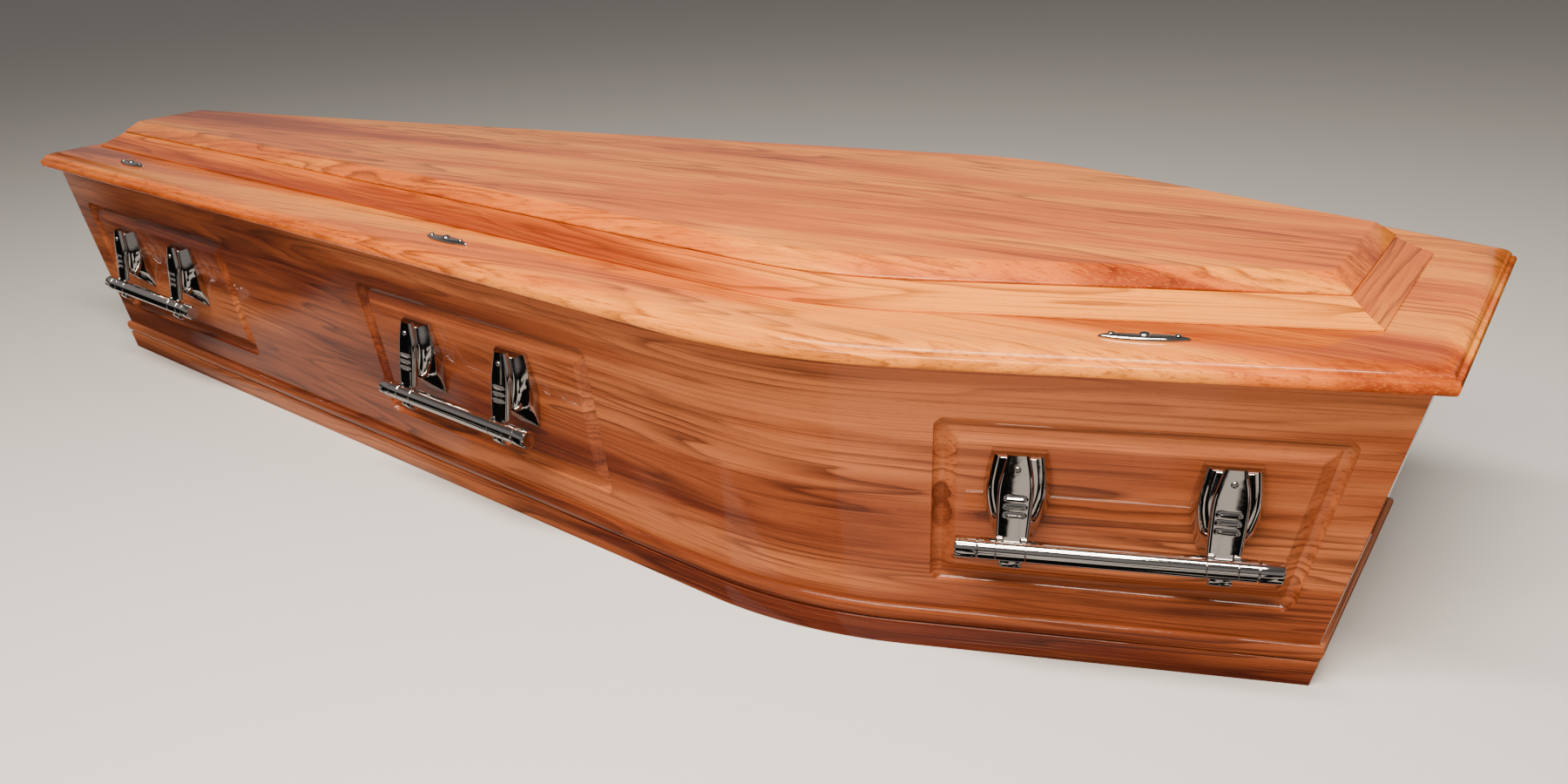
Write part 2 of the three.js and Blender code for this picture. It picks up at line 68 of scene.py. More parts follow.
def point_at(stretch, inset, x):
    """Point at x on a stretch of the near long side moved inward."""
    start, along, inward = FOOT_CORNER, along_foot, in_foot
    if stretch == "head":
        start, along, inward = SHOULDER, along_head, in_head
    moved = start + inward * inset
    return moved + along * ((x - moved.x) / along.x)


def side_line(inset, trim=0.0):
    """Line along the near long side, from the foot corner to the head corner."""
    side, foot, head = inset
    points = [point_at("foot", side, -HALF + foot) + along_foot * trim]
    radius = RADIUS - side
    for i in range(STEPS + 1):
        turn = foot_angle + 2 * half_turn * i / STEPS - math.pi / 2
        points.append(arc_centre + Vector((math.cos(turn), math.sin(turn))) * radius)
    points.append(point_at("head", side, HALF - head) - along_head * trim)
    return points


def shifted(inset, amount):
    """Insets of side, foot and head, all moved by the same amount."""
    return tuple(part + amount for part in inset)


def wall_inset(z, out=0.0):
    """Outer face of the walls at a height, moved out by the given amount."""
    return tuple(over + lean * (1 - z / WALL_TOP) - out for over, lean in zip(OVERHANG, LEAN))


def ring_faces(rings, size):
    """Quads between consecutive rings of equal size, and a cap at each end."""
    faces = []
    for r in range(rings - 1):
        a, b = r * size, (r + 1) * size
        for i in range(size):
            j = (i + 1) % size
            faces.append((a + i, a + j, b + j, b + i))
    faces.append(tuple(range(size - 1, -1, -1)))
    faces.append(tuple(range((rings - 1) * size, rings * size)))
    return faces


def piece(name, verts, faces, grain, material, nodes, crease=25.0, edge=0.0):
    """Makes one visible piece that stands for the named CAD nodes. Grain holds a vector for each vertex,
    with X along the grain. Edges sharper than crease degrees stay sharp, or are rounded by edge metres."""
    mesh = bpy.data.meshes.new(name)
    body = bmesh.new()
    layer = body.verts.layers.float_vector.new("grain")
    made = []
    for point, mark in zip(verts, grain):
        vert = body.verts.new(point)
        vert[layer] = mark
        made.append(vert)
    for face in faces:
        body.faces.new([made[i] for i in face])
    bmesh.ops.recalc_face_normals(body, faces=body.faces)
    if edge:
        body.normal_update()
        limit = math.radians(crease)
        sharp = [e for e in body.edges if len(e.link_faces) == 2 and e.calc_face_angle() > limit]
        bmesh.ops.bevel(
            body, geom=sharp, offset=edge, segments=2, profile=0.5, affect="EDGES", clamp_overlap=True
        )
    body.to_mesh(mesh)
    body.free()
    mesh.shade_smooth()
    mesh.set_sharp_from_angle(angle=math.radians(crease))
    obj = bpy.data.objects.new(name.replace(",", "").replace(" ", "_"), mesh)
    bpy.context.scene.collection.objects.link(obj)
    mesh.materials.append(material)
    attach(obj, "root")
    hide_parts(*nodes)
    return obj


def board(name, levels, material, node, edge=0.0, crease=25.0):
    """A flat board through outlines at given (inset, height) levels, with its grain along X. A last
    ring just inside the top edge keeps the shading of the top flat."""
    verts, grain = [], []
    for inset, z in levels + [(shifted(levels[-1][0], 1.5 * MM), levels[-1][1])]:
        near = side_line(inset)
        outline = near + [Vector((p.x, -p.y)) for p in reversed(near)]
        for p in outline:
            verts.append((p.x, p.y, z))
            grain.append((p.x, p.y, z))
    faces = ring_faces(len(levels) + 1, len(verts) // (len(levels) + 1))
    return piece(name, verts, faces, grain, material, [node], crease, edge)


def colour(code):
    """Linear colour of an sRGB hex code."""
    channels = [int(code[i:i + 2], 16) / 255 for i in (1, 3, 5)]
    linear = [c / 12.92 if c <= 0.04045 else ((c + 0.055) / 1.055) ** 2.4 for c in channels]
    return (*linear, 1.0)


def grey(level):
    """Linear grey for the stops of a mask."""
    return (level, level, level, 1.0)


def add(tree, kind, inputs=None, **settings):
    """Adds one shader node with its settings, and fills its inputs with values or links."""
    made = tree.nodes.new(kind)
    for name, value in settings.items():
        setattr(made, name, value)
    for name, value in (inputs or {}).items():
        if isinstance(value, bpy.types.NodeSocket):
            tree.links.new(value, made.inputs[name])
        else:
            made.inputs[name].default_value = value
    return made


def ramp(tree, factor, stops, interpolation="EASE"):
    """Colour ramp over a list of (position, colour) stops."""
    made = add(tree, "ShaderNodeValToRGB", {"Fac": factor})
    made.color_ramp.interpolation = interpolation
    elements = made.color_ramp.elements
    while len(elements) < len(stops):
        elements.new(0.5)
    for element, (position, value) in zip(elements, stops):
        element.position = position
        element.color = value
    return made.outputs["Color"]


def math_node(tree, first, second, operation="ADD"):
    """Math node on two values."""
    return add(tree, "ShaderNodeMath", {0: first, 1: second}, operation=operation).outputs[0]


def grain_noise(tree, along, across, detail=4.0, roughness=0.55, distortion=0.0, shift=0.0):
    """Noise drawn out along the grain. Along and across are the real sizes of its marks in metres."""
    grain = add(tree, "ShaderNodeAttribute", attribute_name="grain")
    scaled = add(
        tree,
        "ShaderNodeVectorMath",
        {0: grain.outputs["Vector"], 1: (1 / along, 1 / across, 1 / across)},
        operation="MULTIPLY",
    )
    offset = (shift, shift, shift)
    moved = add(tree, "ShaderNodeVectorMath", {0: scaled.outputs[0], 1: offset}, operation="ADD")
    noise = add(
        tree,
        "ShaderNodeTexNoise",
        {
            "Vector": moved.outputs[0],
            "Scale": 1.0,
            "Detail": detail,
            "Roughness": roughness,
            "Distortion": distortion,
        },
    )
    return noise.outputs["Fac"]


def veneer(name, pale, warm, dark, line, shift, coat):
    """Lacquered veneer: flat-sawn boards with nested flames of dark late wood along the middle of each
    growth pattern, straight fine grain beside them, soft brown patches and short pores, under a thick,
    level coat of clear lacquer."""
    made = bpy.data.materials.new(name)
    made.use_nodes = True
    tree = made.node_tree
    tree.nodes.clear()

    def mixed(factor, strength, under, over):
        share = math_node(tree, factor, strength, "MULTIPLY")
        inputs = {"Factor": share, "A": under, "B": over}
        return add(tree, "ShaderNodeMix", inputs, data_type="RGBA").outputs["Result"]

    def between(factor, low, high):
        return ramp(tree, factor, [(low, grey(0.0)), (high, grey(1.0))])

    broad = grain_noise(tree, 1.1, 0.09, detail=4.0, distortion=0.3, shift=shift)
    base = ramp(tree, broad, [(0.36, colour(dark)), (0.47, colour(warm)), (0.58, colour(pale))])
    # Rings of growth: a slow field whose level lines close into long pointed flames
    field = grain_noise(tree, 0.75, 0.06, detail=2.0, roughness=0.4, shift=shift + 7.0)
    waver = grain_noise(tree, 0.14, 0.02, detail=3.0, shift=shift + 5.0)
    turns = math_node(tree, math_node(tree, field, 15.0, "MULTIPLY"), math_node(tree, waver, 0.8, "MULTIPLY"))
    ring = math_node(tree, turns, 0.0, "FRACT")
    late = ramp(
        tree, ring, [(0.0, grey(0.75)), (0.1, grey(0.0)), (0.55, grey(0.12)), (0.97, grey(1.0))], "LINEAR"
    )
    breaks = grain_noise(tree, 0.5, 0.07, detail=3.0, shift=shift + 3.0)
    late = math_node(tree, late, ramp(tree, breaks, [(0.4, grey(0.15)), (0.6, grey(1.0))]), "MULTIPLY")
    figured = mixed(late, 0.7, base, colour(line))
    # Fine dark streaks that run almost straight, and finer pale ones between them
    fine = grain_noise(tree, 0.32, 0.0026, detail=6.0, roughness=0.66, shift=shift + 11.0)
    streaked = mixed(between(fine, 0.5, 0.66), 0.5, figured, colour(line))
    silk = grain_noise(tree, 0.2, 0.0012, detail=3.0, roughness=0.6, shift=shift + 13.0)
    silky = mixed(between(silk, 0.52, 0.7), 0.35, streaked, colour(pale))
    # Pores: short dark dashes under the lacquer
    pores = grain_noise(tree, 0.012, 0.0007, detail=2.0, shift=shift + 17.0)
    pored = mixed(between(pores, 0.6, 0.7), 0.35, silky, colour(line))
    # The lacquer sinks a little into the grain, and its own surface swells very slowly
    telegraph = add(tree, "ShaderNodeBump", {"Height": fine, "Strength": 0.12, "Distance": 0.00025})
    swell = grain_noise(tree, 0.12, 0.05, detail=1.0, shift=shift + 23.0)
    level = add(tree, "ShaderNodeBump", {"Height": swell, "Strength": 0.1, "Distance": 0.0004})
    shader = add(
        tree,
        "ShaderNodeBsdfPrincipled",
        {
            "Base Color": pored,
            "Roughness": 0.42,
            "IOR": 1.5,
            "Specular IOR Level": 0.1,
            "Normal": telegraph.outputs[0],
            "Coat Weight": coat,
            "Coat Roughness": 0.03,
            "Coat IOR": 1.33,
            "Coat Normal": level.outputs[0],
        },
    )
    add(tree, "ShaderNodeOutputMaterial", {"Surface": shader.outputs[0]})
    return made


FLOOR_THICKNESS = 0.016
FLOOR_WOOD = veneer("floor board, thin sealer", "#C98E5C", "#AD7040", "#8A5430", "#6B3A1E", 80.0, 0.2)
board(
    "floor board, plain",
    [(wall_inset(z, -WALL - GAP), z) for z in (0.0, FLOOR_THICKNESS)],
    FLOOR_WOOD, "floor_board", edge=0.8 * MM,
)


# Side boards: 18 mm thick, leaning out 31 mm over their 298 mm height, bent round the shoulder. Each has
# three routed panels 172 mm high. The groove is 22 mm wide and 8 mm deep: a cove at the outside and a
# long bevel up to the field. The panel next to each corner of the coffin has an end that runs with it.
SIDE_VENEER = veneer("side veneer, gloss lacquer", "#B0643A", "#8A4524", "#5C2413", "#33100A", 40.0, 0.8)
lean_angle = math.atan2(LEAN[0], WALL_TOP)
slope = math.hypot(LEAN[0], WALL_TOP)
bottom = side_line(wall_inset(0.0))
bottom_shoulder = SHOULDER + bisector * (wall_inset(0.0)[0] / math.cos(half_turn))
foot_run = (bottom_shoulder - bottom[0]).length
head_run = (bottom[-1] - bottom_shoulder).length
LONG_PANEL = 0.415
middle_bay = foot_run - 0.2495 - LONG_PANEL / 2
# Places along the foot of the wall from the foot corner, or from the shoulder for the head panel
PANELS = [
    dict(name="foot", stretch="foot", centre=0.2425, handle=0.2425, length=LONG_PANEL, slanted=-1),
    dict(name="middle", stretch="foot", centre=middle_bay, handle=middle_bay, length=LONG_PANEL, slanted=0),
    dict(name="head", stretch="head", centre=0.297, handle=0.293, length=0.330, slanted=1),
]
PANEL_HEIGHT = 0.172
PANEL_MIDDLE = 0.164
COVE, BEVEL, DEPTH, CORNER = 0.0095, 0.0125, 0.008, 0.012
# Each board and strip stands back by this much from the corner where it meets the next
TRIM = 0.2 * MM


def groove_depth(x, y, length):
    """Depth of the routed groove at a point measured from the middle of a panel."""
    half_x, half_y = length / 2, PANEL_HEIGHT / 2
    qx, qy = abs(x) - (half_x - CORNER), abs(y) - (half_y - CORNER)
    inset = CORNER - math.hypot(max(qx, 0), max(qy, 0)) - min(max(qx, qy), 0)
    if inset <= 0 or inset >= COVE + BEVEL:
        return 0.0
    if inset < COVE:
        return DEPTH * math.sqrt(1 - (1 - inset / COVE) ** 2)
    return DEPTH * (1 - (inset - COVE) / BEVEL)


def panel_marks(centre, half):
    """Grid lines close together over the two grooves of a panel and far apart between them."""
    inner = [-0.0008, 0.0, 0.0003, 0.001, 0.002, 0.0035, 0.005, 0.0065, 0.008, COVE]
    inner += [COVE + BEVEL * i / 8 for i in range(1, 9)] + [COVE + BEVEL + 0.0008]
    return [centre - half + m for m in inner] + [centre + half - m for m in reversed(inner)]


def end_line(inset, head, trim=0.0):
    """Line across the head or the foot, from the near corner to the far one."""
    side, foot_inset, head_inset = inset
    near = point_at("foot", side, -HALF + foot_inset)
    if head:
        near = point_at("head", side, HALF - head_inset)
    near.y += trim
    return [near, Vector((near.x, -near.y))]


def end_slope(head, along):
    """How far the end of a wall leans out along the wall for each metre up its slope."""
    low, high = (end_line(wall_inset(z), head)[0].dot(along) for z in (0.0, WALL_TOP))
    return (high - low) / slope


def side_marks():
    """Grid lines (stretch, place, tilt) along the foot stretch, round the shoulder and along the head
    stretch. Lines near a corner of the coffin tilt with it, so the panel's end runs along the corner."""
    marks = {"foot": [("foot", 0.0, 0.0)], "head": []}
    for panel in PANELS:
        half = panel["length"] / 2
        tilt = 0.0
        if panel["slanted"]:
            tilt = end_slope(panel["slanted"] > 0, along_head if panel["slanted"] > 0 else along_foot)
        for s in panel_marks(panel["centre"], half):
            share = (1 + panel["slanted"] * (s - panel["centre"]) / half) / 2
            marks[panel["stretch"]].append((panel["stretch"], s, tilt * share))
    bend = [("bend", i / STEPS, 0.0) for i in range(STEPS + 1)]
    return marks["foot"] + bend + marks["head"] + [("head", head_run, 0.0)]


def side_point(mark, rise, outward=0.0):
    """Point on the near wall, at a place along it and a distance up its slope."""
    kind, value, tilt = mark
    z = rise * WALL_TOP / slope
    inset = wall_inset(z, outward)
    if kind == "bend":
        turn = foot_angle + 2 * half_turn * value - math.pi / 2
        flat = arc_centre + Vector((math.cos(turn), math.sin(turn))) * (RADIUS - inset[0])
        return Vector((flat.x, flat.y, z))
    start, along, inward = bottom[0], along_foot, in_foot
    if kind == "head":
        start, along, inward = bottom_shoulder, along_head, in_head
    flat = start + along * (value + tilt * (rise - PANEL_MIDDLE))
    flat -= inward * (wall_inset(0.0)[0] - inset[0])
    return Vector((flat.x, flat.y, z))


def side_board(far):
    """Outer face on the grid, inner face on two lines, and the edges between them."""
    marks = side_marks()
    rises = [0.0] + panel_marks(PANEL_MIDDLE, PANEL_HEIGHT / 2) + [slope]
    verts, grain, faces = [], [], []
    run = 0.0
    for column, mark in enumerate(marks):
        if column:
            run += (side_point(mark, 0.0) - side_point(marks[column - 1], 0.0)).length
        for rise in rises:
            depth = 0.0
            for panel in PANELS:
                if mark[0] == panel["stretch"]:
                    across = mark[1] - panel["centre"]
                    depth = max(depth, groove_depth(across, rise - PANEL_MIDDLE, panel["length"]))
            point = side_point(mark, rise, -depth)
            if column in (0, len(marks) - 1):
                line = side_line(wall_inset(rise * WALL_TOP / slope), TRIM)
                end = line[0] if column == 0 else line[-1]
                point = Vector((end.x, end.y, point.z))
            verts.append(point)
            grain.append((run, rise, depth))
    rows, columns = len(rises), len(marks)
    for c in range(columns - 1):
        for r in range(rows - 1):
            faces.append((c * rows + r, (c + 1) * rows + r, (c + 1) * rows + r + 1, c * rows + r + 1))
    # Inner face, with one vertex under each grid line at the bottom and the top
    inner = len(verts)
    for column, mark in enumerate(marks):
        for rise in (0.0, slope):
            point = side_point(mark, rise, -WALL)
            if column in (0, columns - 1):
                line = side_line(wall_inset(rise * WALL_TOP / slope, -WALL), TRIM)
                end = line[0] if column == 0 else line[-1]
                point = Vector((end.x, end.y, point.z))
            verts.append(point)
            grain.append((point.x, rise + 0.5, 0.2))
    for c in range(columns - 1):
        a, b = inner + 2 * c, inner + 2 * (c + 1)
        faces.append((a, a + 1, b + 1, b))
        faces.append((c * rows, a, b, (c + 1) * rows))
        faces.append((c * rows + rows - 1, (c + 1) * rows + rows - 1, b + 1, a + 1))
    last = inner + 2 * (columns - 1)
    faces.append(tuple(range(rows)) + (inner + 1, inner))
    faces.append(tuple(range((columns - 1) * rows, columns * rows)) + (last + 1, last))
    if far:
        verts = [Vector((p.x, -p.y, p.z)) for p in verts]
    side = "far" if far else "near"
    return piece(
        f"{side} side board, routed", verts, faces, grain, SIDE_VENEER, [f"{side}_side_board"],
        crease=28.0,
    )


side_board(False)
side_board(True)


# End boards: plain, 18 mm thick, in the same veneer, with the grain running across the coffin. The foot
# end leans out 20 mm and the head end 45 mm.


def moulding(name, section, side, material, node, shift=0.0, edge=0.0, crease=25.0):
    """A strip along one side or end, through a list of (inset, height) corners. Its grain runs along it."""
    if side in ("near", "far"):
        lines = [side_line(inset, TRIM) for inset, z in section]
    else:
        lines = [end_line(inset, side == "head", TRIM) for inset, z in section]
    stations = len(lines[0])
    run, girth = [0.0], [0.0]
    for i in range(1, stations):
        run.append(run[-1] + (lines[0][i] - lines[0][i - 1]).length)
    for i in range(1, len(section)):
        (inset, z), (last_inset, last_z) = section[i], section[i - 1]
        girth.append(girth[-1] + math.hypot(inset[0] - last_inset[0], z - last_z))
    verts, grain = [], []
    for s in range(stations):
        for i, line in enumerate(lines):
            y = -line[s].y if side == "far" else line[s].y
            verts.append((line[s].x, y, section[i][1]))
            grain.append((run[s] + shift, girth[i] + shift, shift))
    faces = ring_faces(stations, len(section))
    return piece(name, verts, faces, grain, material, [node], crease, edge)


wall_section = [
    (wall_inset(0.0), 0.0),
    (wall_inset(WALL_TOP), WALL_TOP),
    (wall_inset(WALL_TOP, -WALL), WALL_TOP),
    (wall_inset(0.0, -WALL), 0.0),
]
for end, shift in (("foot", 3.0), ("head", 5.0)):
    moulding(f"{end} end board", wall_section, end, SIDE_VENEER, f"{end}_end_board", shift)


# Plinth: a moulding 45 mm high round the foot of the walls, in the veneer of the sides. A 28 mm band
# with a round top edge, a quirk, and a bead above it.


def plinth_section():
    """Corners (inset, height) of the moulding against the leaning wall."""
    band, bead, quirk, lip = 5.5 * MM, 6.5 * MM, 2.2 * MM, 1.5 * MM
    band_height, height = 0.028, 0.045
    corners = [(0.0, 0.0), (band - 0.6 * MM, 0.0), (band, 0.6 * MM)]
    for i in range(7):
        turn = i / 6 * math.pi / 2
        out = quirk + (band - quirk) * math.cos(turn)
        corners.append((out, band_height - (band - quirk) * (1 - math.sin(turn))))
    bead_radius = (height - band_height) / 2
    for i in range(1, 11):
        turn = (i / 10 - 0.5) * math.pi
        out = lip if i == 10 else quirk + (bead - quirk) * math.cos(turn)
        corners.append((out, band_height + bead_radius * (1 + math.sin(turn))))
    corners.append((0.0, height))
    return [(wall_inset(z, out + GAP), z) for out, z in corners]


for number, side in enumerate(("near", "far", "foot", "head")):
    moulding(
        f"{side} plinth moulding", plinth_section(), side, SIDE_VENEER, f"{side}_plinth",
        shift=9.0 + number, crease=40.0,
    )


# Lid board: 20 mm thick, in a paler and more golden veneer than the sides. Its edge is a bead 10.8 mm
# high, a small fillet and a broad ovolo.
LID_VENEER = veneer("lid veneer, gloss lacquer", "#F7912B", "#DB6B1D", "#9B3D13", "#631F0A", 0.0, 0.9)
LID_THICKNESS = 0.020
LID_BOTTOM = WALL_TOP + GAP
LID_TOP = LID_BOTTOM + LID_THICKNESS


def lid_levels():
    """Outlines of the lid board from its lower edge to its top: the bead, the fillet and the ovolo."""
    bead_height, bead_width, fillet = 10.8 * MM, 2.5 * MM, 0.8 * MM
    start, end = 5 * MM, 26 * MM
    levels = []
    for i in range(13):
        turn = (i / 12 - 0.5) * math.pi
        levels.append((bead_width * (1 - math.cos(turn)), bead_height / 2 * (1 + math.sin(turn))))
    foot = bead_height + fillet
    for i in range(13):
        turn = i / 12 * math.pi / 2
        levels.append((end - (end - start) * math.cos(turn), foot + (LID_THICKNESS - foot) * math.sin(turn)))
    return [((inset,) * 3, LID_BOTTOM + rise) for inset, rise in levels]


board("lid board, moulded edge", lid_levels(), LID_VENEER, "lid_board", crease=30.0)


# Sloping frame on the lid board: four strips in the lid's veneer, mitred at the corners. The slope is
# 31 mm wide and 18 mm high, and slightly coved.
FRAME_TOE = (0.085, 0.040, 0.067)
FRAME_WIDTH = 0.031
FRAME_RISE = 0.018
FRAME_BOTTOM = LID_TOP + GAP
FRAME_TOP = FRAME_BOTTOM + FRAME_RISE


def frame_section():
    """Corners (inset, height) of the frame: a small lip, the coved slope and a flat under the top panel."""
    lip, cove, inner = 0.002, 0.0012, 0.056
    section = [(0.0, FRAME_BOTTOM), (0.0, FRAME_BOTTOM + lip - 0.4 * MM), (0.4 * MM, FRAME_BOTTOM + lip)]
    for i in range(1, 12):
        t = i / 12
        rise = lip + (FRAME_RISE - lip) * t - 4 * cove * t * (1 - t)
        section.append((FRAME_WIDTH * t, FRAME_BOTTOM + rise))
    section += [(FRAME_WIDTH - 0.3 * MM, FRAME_TOP - 0.3 * MM), (FRAME_WIDTH, FRAME_TOP)]
    section += [(inner, FRAME_TOP), (inner, FRAME_BOTTOM)]
    return [(shifted(FRAME_TOE, inset), z) for inset, z in section]


for number, side in enumerate(("near", "far", "foot", "head")):
    moulding(
        f"{side} lid frame", frame_section(), side, LID_VENEER, f"{side}_lid_frame",
        shift=21.0 + number, crease=30.0,
    )


# Top panel: 15 mm thick, in the lid's veneer, with a 2 mm square lower edge and a bevel 18.5 mm wide. It
# lies 1.5 mm inside the top of the frame's slope.
PANEL_BOTTOM = FRAME_TOP + GAP
toe = FRAME_WIDTH + 0.0015
board(
    "lid top panel, bevelled",
    [
        (shifted(FRAME_TOE, toe), PANEL_BOTTOM),
        (shifted(FRAME_TOE, toe), PANEL_BOTTOM + 0.002),
        (shifted(FRAME_TOE, toe + 0.0185), PANEL_BOTTOM + 0.015),
    ],
    LID_VENEER, "lid_top_panel", edge=0.7 * MM, crease=20.0,
)


# Lid fasteners, three along each side of the lid board: a boat-shaped chrome plate 73 by 16 mm, crowned,
# with a domed screw in the middle and a small stud near each tip.


def plated(name):
    """Bright chrome plate on a polished casting, with the faint waviness and smears of hand buffing."""
    made = bpy.data.materials.new(name)
    made.use_nodes = True
    tree = made.node_tree
    tree.nodes.clear()
    place = add(tree, "ShaderNodeTexCoord")
    buffing = add(
        tree, "ShaderNodeTexNoise", {"Vector": place.outputs["Object"], "Scale": 1 / 0.012, "Detail": 2.0}
    )
    smear = add(
        tree, "ShaderNodeTexNoise", {"Vector": place.outputs["Object"], "Scale": 1 / 0.004, "Detail": 3.0}
    )
    roughness = add(
        tree, "ShaderNodeMapRange",
        {"Value": smear.outputs["Fac"], "From Min": 0.3, "From Max": 0.7, "To Min": 0.035, "To Max": 0.09},
    )
    wavy = add(
        tree, "ShaderNodeBump", {"Height": buffing.outputs["Fac"], "Strength": 0.15, "Distance": 0.0004}
    )
    shader = add(
        tree,
        "ShaderNodeBsdfPrincipled",
        {
            "Base Color": colour("#C9C4C1"),
            "Metallic": 1.0,
            "Roughness": roughness.outputs[0],
            "Normal": wavy.outputs[0],
        },
    )
    add(tree, "ShaderNodeOutputMaterial", {"Surface": shader.outputs[0]})
    return made


CHROME = plated("bright chrome plate")
FASTENER_INSET = 0.043


def revolved(profile, segments=48):
    """Rings of a (distance along X, radius) profile turned about X."""
    verts = []
    for x, radius in profile:
        for i in range(segments):
            turn = 2 * math.pi * i / segments
            verts.append(Vector((x, radius * math.cos(turn), radius * math.sin(turn))))
    return verts, ring_faces(len(profile), segments)


def joined(parts):
    """One list of vertices and faces from several closed bodies."""
    verts, faces = [], []
    for part_verts, part_faces in parts:
        start = len(verts)
        verts += part_verts
        faces += [tuple(i + start for i in face) for face in part_faces]
    return verts, faces


def place_piece(name, body, matrix, node, crease=25.0):
    """Makes a chrome piece from a body of its own, set in its place."""
    verts, faces = body
    placed = [matrix @ v for v in verts]
    return piece(name, placed, faces, placed, CHROME, [node], crease)


def fastener_body():
    """Plate with its long axis along X, and the screw and studs on it."""
    plate = ((1.0, 0.0), (1.0, 0.9), (0.97, 1.7), (0.9, 2.5), (0.78, 3.2), (0.6, 3.6))
    rings = []
    for share, rise in plate:
        for i in range(64):
            turn = 2 * math.pi * i / 64
            x = 36.5 * math.cos(turn)
            y = math.copysign(8.0 * abs(math.sin(turn)) ** 1.5, math.sin(turn))
            rings.append(Vector((x * share, y * share, rise)) * MM)
    parts = [(rings, ring_faces(len(plate), 64))]
    for x, radius in ((-26.0, 3.0), (0.0, 5.0), (26.0, 3.0)):
        profile = [(0.0, radius)]
        for i in range(1, 9):
            turn = i / 8 * math.pi / 2
            profile.append((radius * 0.5 * math.sin(turn), max(radius * math.cos(turn), 0.05)))
        verts, faces = revolved([(along * MM, r * MM) for along, r in profile], 24)
        turned = [Vector((x * MM - v.z, v.y, v.x + 3.45 * MM)) for v in verts]
        parts.append((turned, faces))
    return joined(parts)


for side in ("near", "far"):
    for name, x in (("foot", -0.761), ("middle", 0.008), ("head", 0.772)):
        stretch = "foot" if x < arc_centre.x else "head"
        spot = point_at(stretch, FASTENER_INSET, x)
        angle = foot_angle if stretch == "foot" else head_angle
        if side == "far":
            spot, angle = Vector((spot.x, -spot.y)), math.pi - angle
        matrix = Matrix.Translation((spot.x, spot.y, LID_TOP + GAP)) @ Matrix.Rotation(angle, 4, "Z")
        title = f"{side}_{name}_fastener"
        place_piece(f"{side} {name} lid fastener", fastener_body(), matrix, title, 50.0)


# Handles, three on each side, in the same chrome: a bar 270 mm long, and 86.5 mm to each side of its
# middle a plate on the wall and an arm. The arm leans from 16 mm off the wall at its top to 40 mm at the
# bar. In each body, X runs along the bar, -Y out of the wall and Z up it, from the middle of the bar.
BAR_OFF, TOP_OFF, ARM_TOP = 40.0, 16.0, 82.0
ARM_PLACE = 86.5
BAR_RADIUS = 9.75
BARREL = 25.0
BAR_RISE = 0.146


def stand_off(height):
    """Distance in millimetres from the wall to the middle of the arm."""
    return BAR_OFF + (TOP_OFF - BAR_OFF) * height / ARM_TOP


def blend_through(points, count):
    """Smooth line through control points, at even steps (Catmull-Rom)."""
    line = []
    spans = len(points) - 1
    for i in range(count + 1):
        place = i / count * spans
        k = min(int(place), spans - 1)
        t = place - k
        p = [points[max(k - 1, 0)], points[k], points[k + 1], points[min(k + 2, spans)]]
        at = []
        for a, b, c, d in zip(*p):
            cubic = (-a + 3 * b - 3 * c + d) * t ** 3
            at.append(0.5 * (cubic + (2 * a - 5 * b + 4 * c - d) * t ** 2 + (c - a) * t + 2 * b))
        line.append(tuple(at))
    return line


def bar_body():
    """Bar 270 mm long and 19.5 mm thick, with a turned ring near each end and a rod inside each barrel."""
    play = 0.3
    inner, outer = ARM_PLACE - BARREL / 2 - play, ARM_PLACE + BARREL / 2 + play
    half = [(0.0, BAR_RADIUS), (inner - 0.5, BAR_RADIUS), (inner, 9.2), (inner, 6.0)]
    half += [(outer, 6.0), (outer, 9.2), (outer + 0.5, BAR_RADIUS)]
    half += [(114.0, BAR_RADIUS), (114.4, 9.1), (115.2, 8.9), (116.0, 9.1), (116.4, BAR_RADIUS)]
    half += [(133.4, BAR_RADIUS), (134.4, 9.3), (135.0, 8.2), (135.0, 0.4)]
    profile = [(-x, r) for x, r in reversed(half)] + half[1:]
    verts, faces = revolved([(x * MM, r * MM) for x, r in profile], 48)
    return [v + Vector((0, -BAR_OFF * MM, 0)) for v in verts], faces


def plate_body():
    """Shield 58 mm wide, from 10 mm below the middle of the bar to 79 mm above it, with a wedge in its
    middle that rises under the arm: 13 mm thick at the top and 30 mm thick near its lower end."""
    foot, top, low = -10.0, 79.0, 23.2
    right = blend_through([(17.0, foot), (25.0, 17.5), (29.0, 45.0), (23.2, top)], 20)
    outline = right + [(-x, z) for x, z in reversed(right)]
    rings = []
    levels = [(1.0, 0.0), (1.0, 0.26), (0.99, 0.34), (0.95, 0.5), (0.9, 0.66), (0.84, 0.8)]
    levels += [(0.76, 0.91), (0.68, 0.975), (0.6, 1.0)]
    for share, depth_share in levels:
        for x, z in outline:
            height = 73.0 - (73.0 - z) * share
            depth = stand_off(height) - 3.6
            if height < low:
                depth = 6.0 + (stand_off(low) - 9.6) * (height - foot) / (low - foot)
            rings.append(Vector((x * share, -0.3 - depth * depth_share, height)) * MM)
    return rings, ring_faces(len(levels), len(outline))


